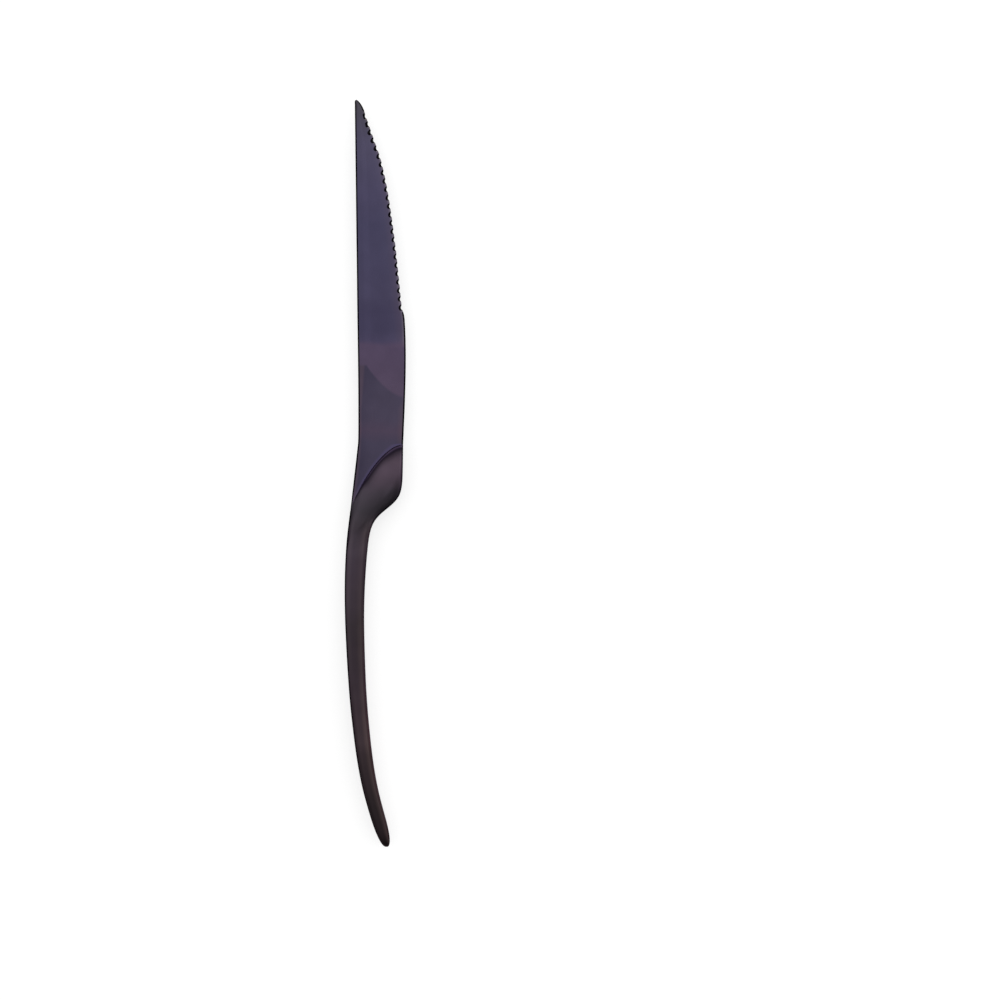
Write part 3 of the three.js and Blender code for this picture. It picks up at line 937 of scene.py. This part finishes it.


# Stops of the tints, by millimetres along the knife or behind the mouth, or by shares across it. Across
# the blade, 0 to 1 is its bevel and below 0 its flat by the spine. Tables of painted light and shade
# multiply a tint.

# The blade's violet coat along its length, with painted reflections: reddish, bluish and greyer patches
GROUND_TINTS_AND_REFLECTIONS = [
    (14, srgb(75, 64, 82)),
    (33.5, srgb(76, 65, 86)),
    (35.5, srgb(66, 61, 84)),
    (39, srgb(61, 57, 79)),
    (45, srgb(60, 56, 78)),
    (50, srgb(64, 60, 82)),
    (76, srgb(64, 61, 84)),
    (86, srgb(68, 64, 87)),
    (104, srgb(71, 67, 87)),
    (114, srgb(66, 63, 72)),
    (118, srgb(56, 54, 58)),
]
# Painted highlights across the blade: a lighter line on the ridge and a light margin along the edge
GROUND_HIGHLIGHTS = [
    (-1, grey(1)),
    (-0.3, grey(1)),
    (-0.05, grey(1.06)),
    (0.1, grey(1.06)),
    (0.18, grey(1)),
    (0.5, grey(1)),
    (0.7, (1.06, 1.06, 1.04, 1)),
    (0.9, (1.25, 1.17, 1.06, 1)),
    (1, (2.6, 2.5, 1.7, 1)),
]
# The unground root's slate coat along its length, with painted reflections in its reddish patch
ROOT_TINTS_AND_REFLECTIONS = [
    (-20, srgb(60, 55, 71)),
    (2, srgb(63, 58, 75)),
    (6, srgb(71, 61, 78)),
    (10, srgb(67, 61, 78)),
    (26, srgb(63, 58, 75)),
]
# Painted light and shade across the root: a lighter strip by the spine and along the edge, a darker
# middle
ROOT_LIGHT_AND_SHADE = [
    (-1, (1.3, 1.14, 1.03, 1)),
    (-0.78, (1.25, 1.1, 1.01, 1)),
    (-0.55, (0.87, 0.87, 0.9, 1)),
    (-0.1, (0.92, 0.92, 0.94, 1)),
    (0.15, grey(1)),
    (0.8, grey(1)),
    (0.95, (1.25, 1.13, 1.02, 1)),
    (1, (1.25, 1.13, 1.02, 1)),
]
# Painted sheen: a lighter violet band on the blade just ahead of the mouth
MOUTH_SHEEN_TINTS = [(-18, srgb(78, 68, 82)), (-14, srgb(71, 64, 91))]
# Painted shade: a near-black line over the round of the blade's spine
SPINE_SHADE_TINT = srgb(10, 8, 11)
# The handle's brown coat along it, with painted light on the bulb and painted shade at the heel and
# tail
HANDLE_TINTS_LIGHT_AND_SHADE = [
    (3.5, srgb(76, 64, 76)),
    (5.8, srgb(81, 68, 80)),
    (8, srgb(79, 67, 79)),
    (11.3, srgb(74, 63, 74)),
    (13.7, srgb(69, 60, 70)),
    (16, srgb(61, 55, 63)),
    (18.8, srgb(56, 51, 58)),
    (21.5, srgb(54, 50, 56)),
    (24, srgb(57, 52, 58)),
    (27, srgb(60, 54, 60)),
    (33, srgb(66, 58, 66)),
    (40, srgb(60, 52, 60)),
    (50, srgb(60, 52, 59)),
    (62, srgb(50, 44, 48)),
    (80, srgb(53, 45, 51)),
    (102, srgb(62, 52, 56)),
    (110, srgb(51, 43, 46)),
    (121, srgb(43, 37, 39)),
    (129, srgb(41, 35, 37)),
    (134, srgb(50, 42, 44)),
    (137, srgb(50, 42, 44)),
]
# Painted shade behind the mouth: a dark line that fades out over 4 mm, with a lighter bluish band in
# front
LIP_LIGHT_AND_SHADE = [
    (0, (0.35, 0.35, 0.42, 1)),
    (0.08, (0.85, 0.82, 1.05, 1)),
    (0.22, (0.9, 0.86, 1.15, 1)),
    (0.44, (0.55, 0.53, 0.72, 1)),
    (0.66, (0.24, 0.24, 0.32, 1)),
    (0.88, (0.18, 0.18, 0.22, 1)),
    (1.1, (0.26, 0.27, 0.3, 1)),
    (1.55, (0.48, 0.5, 0.51, 1)),
    (2.05, (0.67, 0.69, 0.7, 1)),
    (2.35, (0.8, 0.82, 0.82, 1)),
    (2.8, (0.9, 0.92, 0.92, 1)),
    (4, grey(1)),
]
# Painted light and shade across the handle, by shares from its back: dark back rims, streaks and bright
# edges
BULB_LIGHT_AND_SHADE = [
    (0.65, grey(1)),
    (0.8, grey(0.92)),
]
# Painted shade: a near-black band along the handle's back behind the heel
BACK_PAINTED_SHADE = [
    (0.03, (0.12, 0.12, 0.13, 1)),
    (0.08, grey(0.6)),
    (0.14, grey(1)),
]
HEEL_ACROSS_LIGHT_AND_SHADE = [
    (0.14, grey(1.05)),
    (0.2, grey(1.2)),
    (0.3, grey(1.15)),
    (0.5, grey(0.95)),
    (0.65, grey(0.9)),
    (0.77, grey(1.4)),
    (0.85, grey(1.4)),
    (0.92, grey(0.75)),
    (1, grey(0.5)),
]
GRIP_LIGHT_AND_SHADE = [
    (0.02, grey(0.32)),
    (0.06, grey(0.65)),
    (0.1, grey(1.12)),
    (0.2, (1.17, 1.17, 1.16, 1)),
    (0.35, (0.95, 0.94, 0.98, 1)),
    (0.6, (0.94, 0.92, 0.93, 1)),
    (0.78, (1.1, 1.06, 1, 1)),
    (0.88, (0.7, 0.68, 0.65, 1)),
    (0.95, (1, 0.96, 0.92, 1)),
    (1, (1.8, 1.7, 1.6, 1)),
]
TAIL_LIGHT_AND_SHADE = [
    (0, grey(1.3)),
    (0.04, grey(1)),
    (0.1, (0.66, 0.67, 0.67, 1)),
    (0.2, (0.8, 0.8, 0.82, 1)),
    (0.32, (1.03, 1.01, 1.01, 1)),
    (0.45, (0.95, 0.93, 0.95, 1)),
    (0.6, (0.97, 0.95, 0.95, 1)),
    (0.72, (1.24, 1.19, 1.1, 1)),
    (0.82, (1.08, 1.03, 0.95, 1)),
    (0.9, (1.1, 1.05, 0.97, 1)),
    (0.96, (2.6, 2.5, 2.3, 1)),
    (1, (3.6, 3.4, 3.2, 1)),
]
END_LIGHT_AND_SHADE = [
    (0, grey(3.2)),
    (0.04, grey(2.6)),
    (0.1, grey(1.1)),
    (0.2, (0.84, 0.84, 0.85, 1)),
    (0.32, (1.05, 1.03, 1.03, 1)),
    (0.45, (1, 0.98, 1, 1)),
    (0.6, (0.95, 0.93, 0.93, 1)),
    (0.72, (1.3, 1.22, 1.16, 1)),
    (0.82, (1.38, 1.26, 1.2, 1)),
    (0.9, (1.6, 1.48, 1.42, 1)),
    (0.96, (4.4, 4.1, 3.9, 1)),
    (1, (5.5, 5.2, 5, 1)),
]
# Painted shade under the heel on its edge side, then painted light just behind it
HEEL_ALONG_LIGHT_AND_SHADE = [
    (10, grey(1)),
    (17, (0.75, 0.77, 0.77, 1)),
    (22, (0.6, 0.62, 0.62, 1)),
    (24, grey(0.85)),
    (27, (1.7, 1.65, 1.6, 1)),
    (31, (1.1, 1.08, 1.05, 1)),
    (34, grey(1)),
]
# Edge tints of the metal at grazing angles, set dark as painted shade along the rims
RIM_SHADE_TINT = (0.22, 0.21, 0.23, 1)
BLACK_RIM_SHADE_TINT = (0.02, 0.02, 0.03, 1)

# Where one tint passes into another, by the same measures
HIGHLIGHTS_FROM = (33, 36)
ROOT_LEAN = (12, 26, 0, -0.4)
MOUTH_SHEEN_REACH = 4.5
PLUNGE_EDGE = (-0.3, 0.6)
SPINE_SHADE_EDGE = (-0.92, -0.84)
SWING_FROM = (4, 30)
HEEL_FROM = (13, 18)
BACK_FROM = (19, 24)
GRIP_FROM = (25.5, 30)
TAIL_FROM = (83, 97)
TAIL_LEAN = (0, 1, 0, 35)
END_FROM = (105, 122)
HEEL_SIDE = (0.5, 0.95)


def shader_node(tree, kind, sockets=None, **settings):
    """A node with its settings, and its sockets set to a value or linked to another node's output."""
    made = tree.nodes.new("ShaderNode" + kind)
    for name, value in settings.items():
        setattr(made, name, value)
    for name, value in (sockets or {}).items():
        if isinstance(value, bpy.types.NodeSocket):
            tree.links.new(value, made.inputs[name])
        else:
            made.inputs[name].default_value = value
    return made


def new_material(name):
    made = bpy.data.materials.new(name)
    made.use_nodes = True
    made.node_tree.nodes.clear()
    return made, made.node_tree


def colour_ramp(tree, share, stops):
    ramp = shader_node(tree, "ValToRGB", {"Fac": share})
    elements = ramp.color_ramp.elements
    while len(elements) < len(stops):
        elements.new(0.5)
    for element, (place, colour) in zip(elements, stops):
        element.position = place
        element.color = colour
    return ramp.outputs["Color"]


def map_range(tree, value, low, high, to_low, to_high, kind="LINEAR"):
    sockets = {"Value": value, "From Min": low, "From Max": high, "To Min": to_low, "To Max": to_high}
    return shader_node(tree, "MapRange", sockets, interpolation_type=kind).outputs["Result"]


def mix(tree, share, first, second, kind="MIX"):
    """Two colours mixed, each a colour or another node's output."""
    made = shader_node(tree, "Mix", {0: share, 6: first, 7: second}, data_type="RGBA", blend_type=kind)
    return made.outputs[2]


def add_up(tree, first, second):
    return shader_node(tree, "Math", {0: first, 1: second}, operation="ADD").outputs["Value"]


def fade(tree, place, span, first, second, kind="MIX"):
    """One colour passing into another, or taking it on, over a span of a surface coordinate."""
    return mix(tree, map_range(tree, place, *span, 0, 1), first, second, kind)


def surface_place(tree):
    """Surface coordinates: across and along, and past the plunge on the blade or behind the mouth."""
    place = shader_node(tree, "Attribute", attribute_name="place").outputs["Vector"]
    return shader_node(tree, "SeparateXYZ", {"Vector": place}).outputs


def tint_along(tree, along, stops):
    """A colour that runs through (place, colour) stops, over the whole reach of their places."""
    start, end = stops[0][0], stops[-1][0]
    share = map_range(tree, along, start, end, 0, 1)
    shares = [((place - start) / (end - start), colour) for place, colour in stops]
    return colour_ramp(tree, share, shares)


def noise(tree, scale, detail, stretched=(1, 1, 1)):
    place = shader_node(tree, "TexCoord").outputs["Object"]
    spread = shader_node(tree, "Mapping", {"Vector": place, "Scale": stretched}).outputs["Vector"]
    sockets = {"Vector": spread, "Scale": scale, "Detail": detail}
    return shader_node(tree, "TexNoise", sockets).outputs["Fac"]


def bumps(tree, height, strength, distance):
    sockets = {"Height": height, "Strength": strength, "Distance": distance}
    return shader_node(tree, "Bump", sockets).outputs["Normal"]


def finish(tree, sockets):
    surface = shader_node(tree, "BsdfPrincipled", sockets)
    shader_node(tree, "OutputMaterial", {"Surface": surface.outputs["BSDF"]})


def satin_steel(tree, colour, roughness, rim):
    """The finish of the steel and its coat: satin, with a fine grain along the knife."""
    cloud = map_range(tree, noise(tree, 160, 4), 0.25, 0.75, 0.93, 1.07)
    shaded = shader_node(tree, "HueSaturation", {"Color": colour, "Value": cloud})
    grain = noise(tree, 9000, 2, (1, 0.03, 1))
    finish(
        tree,
        {
            "Base Color": shaded.outputs["Color"],
            "Metallic": 1,
            "Roughness": map_range(tree, grain, 0.3, 0.7, roughness - 0.03, roughness + 0.03),
            "Specular Tint": rim,
            "Normal": bumps(tree, grain, 0.04, 0.00002),
        },
    )


def violet_steel():
    """The blade's tint, with painted reflections: blue violet to the tip, reddish where the grinding
    starts, slate behind it.
    """
    made, tree = new_material("violet_steel")
    across, along, past = surface_place(tree)
    drifting = add_up(tree, along, map_range(tree, noise(tree, 70, 2), 0.3, 0.7, -1.5, 1.5))
    ground_tint_and_reflections = tint_along(tree, drifting, GROUND_TINTS_AND_REFLECTIONS)
    highlights = tint_along(tree, across, GROUND_HIGHLIGHTS)
    highlighted = fade(tree, along, HIGHLIGHTS_FROM, ground_tint_and_reflections, highlights, "MULTIPLY")
    leaning = add_up(tree, across, map_range(tree, along, *ROOT_LEAN))
    slate = tint_along(tree, drifting, ROOT_TINTS_AND_REFLECTIONS)
    root = mix(tree, 1, slate, tint_along(tree, leaning, ROOT_LIGHT_AND_SHADE), "MULTIPLY")
    # Painted sheen on the blade just ahead of the mouth
    sheen = map_range(tree, past, UNGROUND, UNGROUND + MOUTH_SHEEN_REACH, 1, 0, "SMOOTHSTEP")
    sheened = mix(tree, sheen, root, tint_along(tree, along, MOUTH_SHEEN_TINTS))
    inside = fade(tree, past, PLUNGE_EDGE, sheened, highlighted)
    # Painted shade: a near-black line over the spine's round
    satin_steel(tree, fade(tree, across, SPINE_SHADE_EDGE, SPINE_SHADE_TINT, inside), 0.3, RIM_SHADE_TINT)
    return made


def painted_shade_steel():
    """Near black: painted shade on the blade's narrow sides and in its gullets."""
    made, tree = new_material("painted_shade_steel")
    tint = colour_ramp(tree, noise(tree, 400, 3), [(0.3, srgb(6, 5, 8)), (0.7, srgb(14, 11, 15))])
    satin_steel(tree, tint, 0.35, BLACK_RIM_SHADE_TINT)
    return made


def brown_steel():
    """The handle's tint: painted shade at the lip, painted light on the bulb, and browner with painted
    shade to the tail.
    """
    made, tree = new_material("brown_steel")
    across, along, behind = surface_place(tree)
    wander = map_range(tree, noise(tree, 70, 2), 0.3, 0.7, -3, 3)
    swing = map_range(tree, along, *SWING_FROM, 0, 1)
    drift = shader_node(tree, "Math", {0: wander, 1: swing}, operation="MULTIPLY").outputs["Value"]
    plain = tint_along(tree, add_up(tree, along, drift), HANDLE_TINTS_LIGHT_AND_SHADE)
    tint = mix(tree, 1, plain, tint_along(tree, behind, LIP_LIGHT_AND_SHADE), "MULTIPLY")
    slanted = add_up(tree, along, map_range(tree, across, *TAIL_LEAN))
    # Painted light and shade across the handle, from the bulb to the heel, grip, tail and end
    painted_light_and_shade = colour_ramp(tree, across, BULB_LIGHT_AND_SHADE)
    for place, span, stops, kind in (
        (along, HEEL_FROM, HEEL_ACROSS_LIGHT_AND_SHADE, "MIX"),
        (along, BACK_FROM, BACK_PAINTED_SHADE, "MULTIPLY"),
        (along, GRIP_FROM, GRIP_LIGHT_AND_SHADE, "MIX"),
        (slanted, TAIL_FROM, TAIL_LIGHT_AND_SHADE, "MIX"),
        (along, END_FROM, END_LIGHT_AND_SHADE, "MIX"),
    ):
        painted_light_and_shade = fade(tree, place, span, painted_light_and_shade, colour_ramp(tree, across, stops), kind)
    painted_tint = mix(tree, 1, tint, painted_light_and_shade, "MULTIPLY")
    # Painted shade under the heel and painted light behind it, on the edge side
    heel = tint_along(tree, along, HEEL_ALONG_LIGHT_AND_SHADE)
    shown = fade(tree, across, HEEL_SIDE, painted_tint, heel, "MULTIPLY")
    # Painted shade: black rims along the handle's back
    satin_steel(tree, shown, 0.34, colour_ramp(tree, across, [(0.04, BLACK_RIM_SHADE_TINT), (0.1, RIM_SHADE_TINT)]))
    return made


def braze_metal():
    made, tree = new_material("dark_braze")
    ripple = noise(tree, 1800, 3)
    tint = colour_ramp(tree, ripple, [(0.3, srgb(54, 48, 64)), (0.7, srgb(64, 57, 74))])
    normal = bumps(tree, ripple, 0.2, 0.00003)
    finish(tree, {"Base Color": tint, "Metallic": 1, "Roughness": 0.45, "Normal": normal})
    return made


def cement():
    made, tree = new_material("handle_cement")
    grit = noise(tree, 1500, 6)
    tint = colour_ramp(tree, grit, [(0.3, srgb(118, 114, 106)), (0.7, srgb(158, 153, 143))])
    finish(tree, {"Base Color": tint, "Roughness": 0.9, "Normal": bumps(tree, grit, 0.5, 0.0001)})
    return made


make_blade(violet_steel(), painted_shade_steel())
brown = brown_steel()
braze = braze_metal()
for side in (1, -1):
    make_shell(side, brown)
    make_mouth_line(side, braze)
make_seam(braze)
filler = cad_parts["handle_filler"]
filler.data.materials.clear()
filler.data.materials.append(cement())

# Stage, light and camera


def make_floor():
    """A grey floor that is lit white for the camera and for reflections."""
    made, tree = new_material("pale_floor")
    rays = shader_node(tree, "LightPath").outputs
    mirrored = add_up(tree, rays["Is Glossy Ray"], rays["Is Transmission Ray"])
    seen = add_up(tree, rays["Is Camera Ray"], mirrored)
    finish(
        tree,
        {
            "Base Color": colour_ramp(tree, noise(tree, 3, 2), [(0.3, grey(0.36)), (0.7, grey(0.38))]),
            "Roughness": 0.9,
            "Specular IOR Level": 0.1,
            "Emission Color": grey(1),
            "Emission Strength": map_range(tree, seen, 0, 1, 0, FLOOR_GLOW),
        },
    )
    mesh = bpy.data.meshes.new("floor")
    reach = FLOOR_SIZE / 2
    corners = [(-reach, -reach), (reach, -reach), (reach, reach), (-reach, reach)]
    mesh.from_pydata([(x, y, cad_low.z) for x, y in corners], [], [(0, 1, 2, 3)])
    mesh.materials.append(made)
    floor = bpy.data.objects.new("floor", mesh)
    bpy.context.scene.collection.objects.link(floor)


def make_lamp(name, place, size, radiance):
    """A square soft lamp aimed at the knife, set by the brightness that it shows."""
    lamp = bpy.data.lights.new(name, "AREA")
    lamp.size = size
    lamp.energy = radiance * math.pi * size * size
    made = bpy.data.objects.new(name, lamp)
    made.location = place
    made.rotation_euler = Vector(place).to_track_quat("Z", "Y").to_euler()
    bpy.context.scene.collection.objects.link(made)


def make_sky():
    """A soft tent of light, brightest overhead and dim behind the handle's end."""
    world = bpy.data.worlds.new("studio")
    world.use_nodes = True
    tree = world.node_tree
    tree.nodes.clear()
    direction = shader_node(tree, "TexCoord").outputs["Generated"]
    ahead = shader_node(tree, "SeparateXYZ", {"Vector": direction}).outputs["Y"]
    level = map_range(tree, ahead, *SKY_SPAN, *SKY_LEVELS, "SMOOTHSTEP")
    tent = shader_node(tree, "Background", {"Color": grey(1), "Strength": level})
    shader_node(tree, "OutputWorld", {"Surface": tent.outputs["Background"]})
    bpy.context.scene.world = world


def make_camera():
    """Straight above, where the photograph was taken from, with the knife left of the middle."""
    lens = bpy.data.cameras.new("camera")
    lens.lens = CAMERA_LENS
    frame_width = PHOTO_SIZE * MM_PER_PIXEL * MM
    aside, below = ((PHOTO_SIZE / 2 - at) * MM_PER_PIXEL * MM for at in KNIFE_AT_PIXEL)
    away = frame_width * CAMERA_LENS / lens.sensor_width
    camera = bpy.data.objects.new("camera", lens)
    camera.location = knife_origin + Vector((aside, -below, away))
    bpy.context.scene.collection.objects.link(camera)
    bpy.context.scene.camera = camera


make_floor()
make_lamp("side_box", SIDE_BOX_AT, SIDE_BOX_SIZE, SIDE_BOX_LEVEL)
make_sky()
make_camera()
bpy.context.scene.view_settings.view_transform = "Standard"
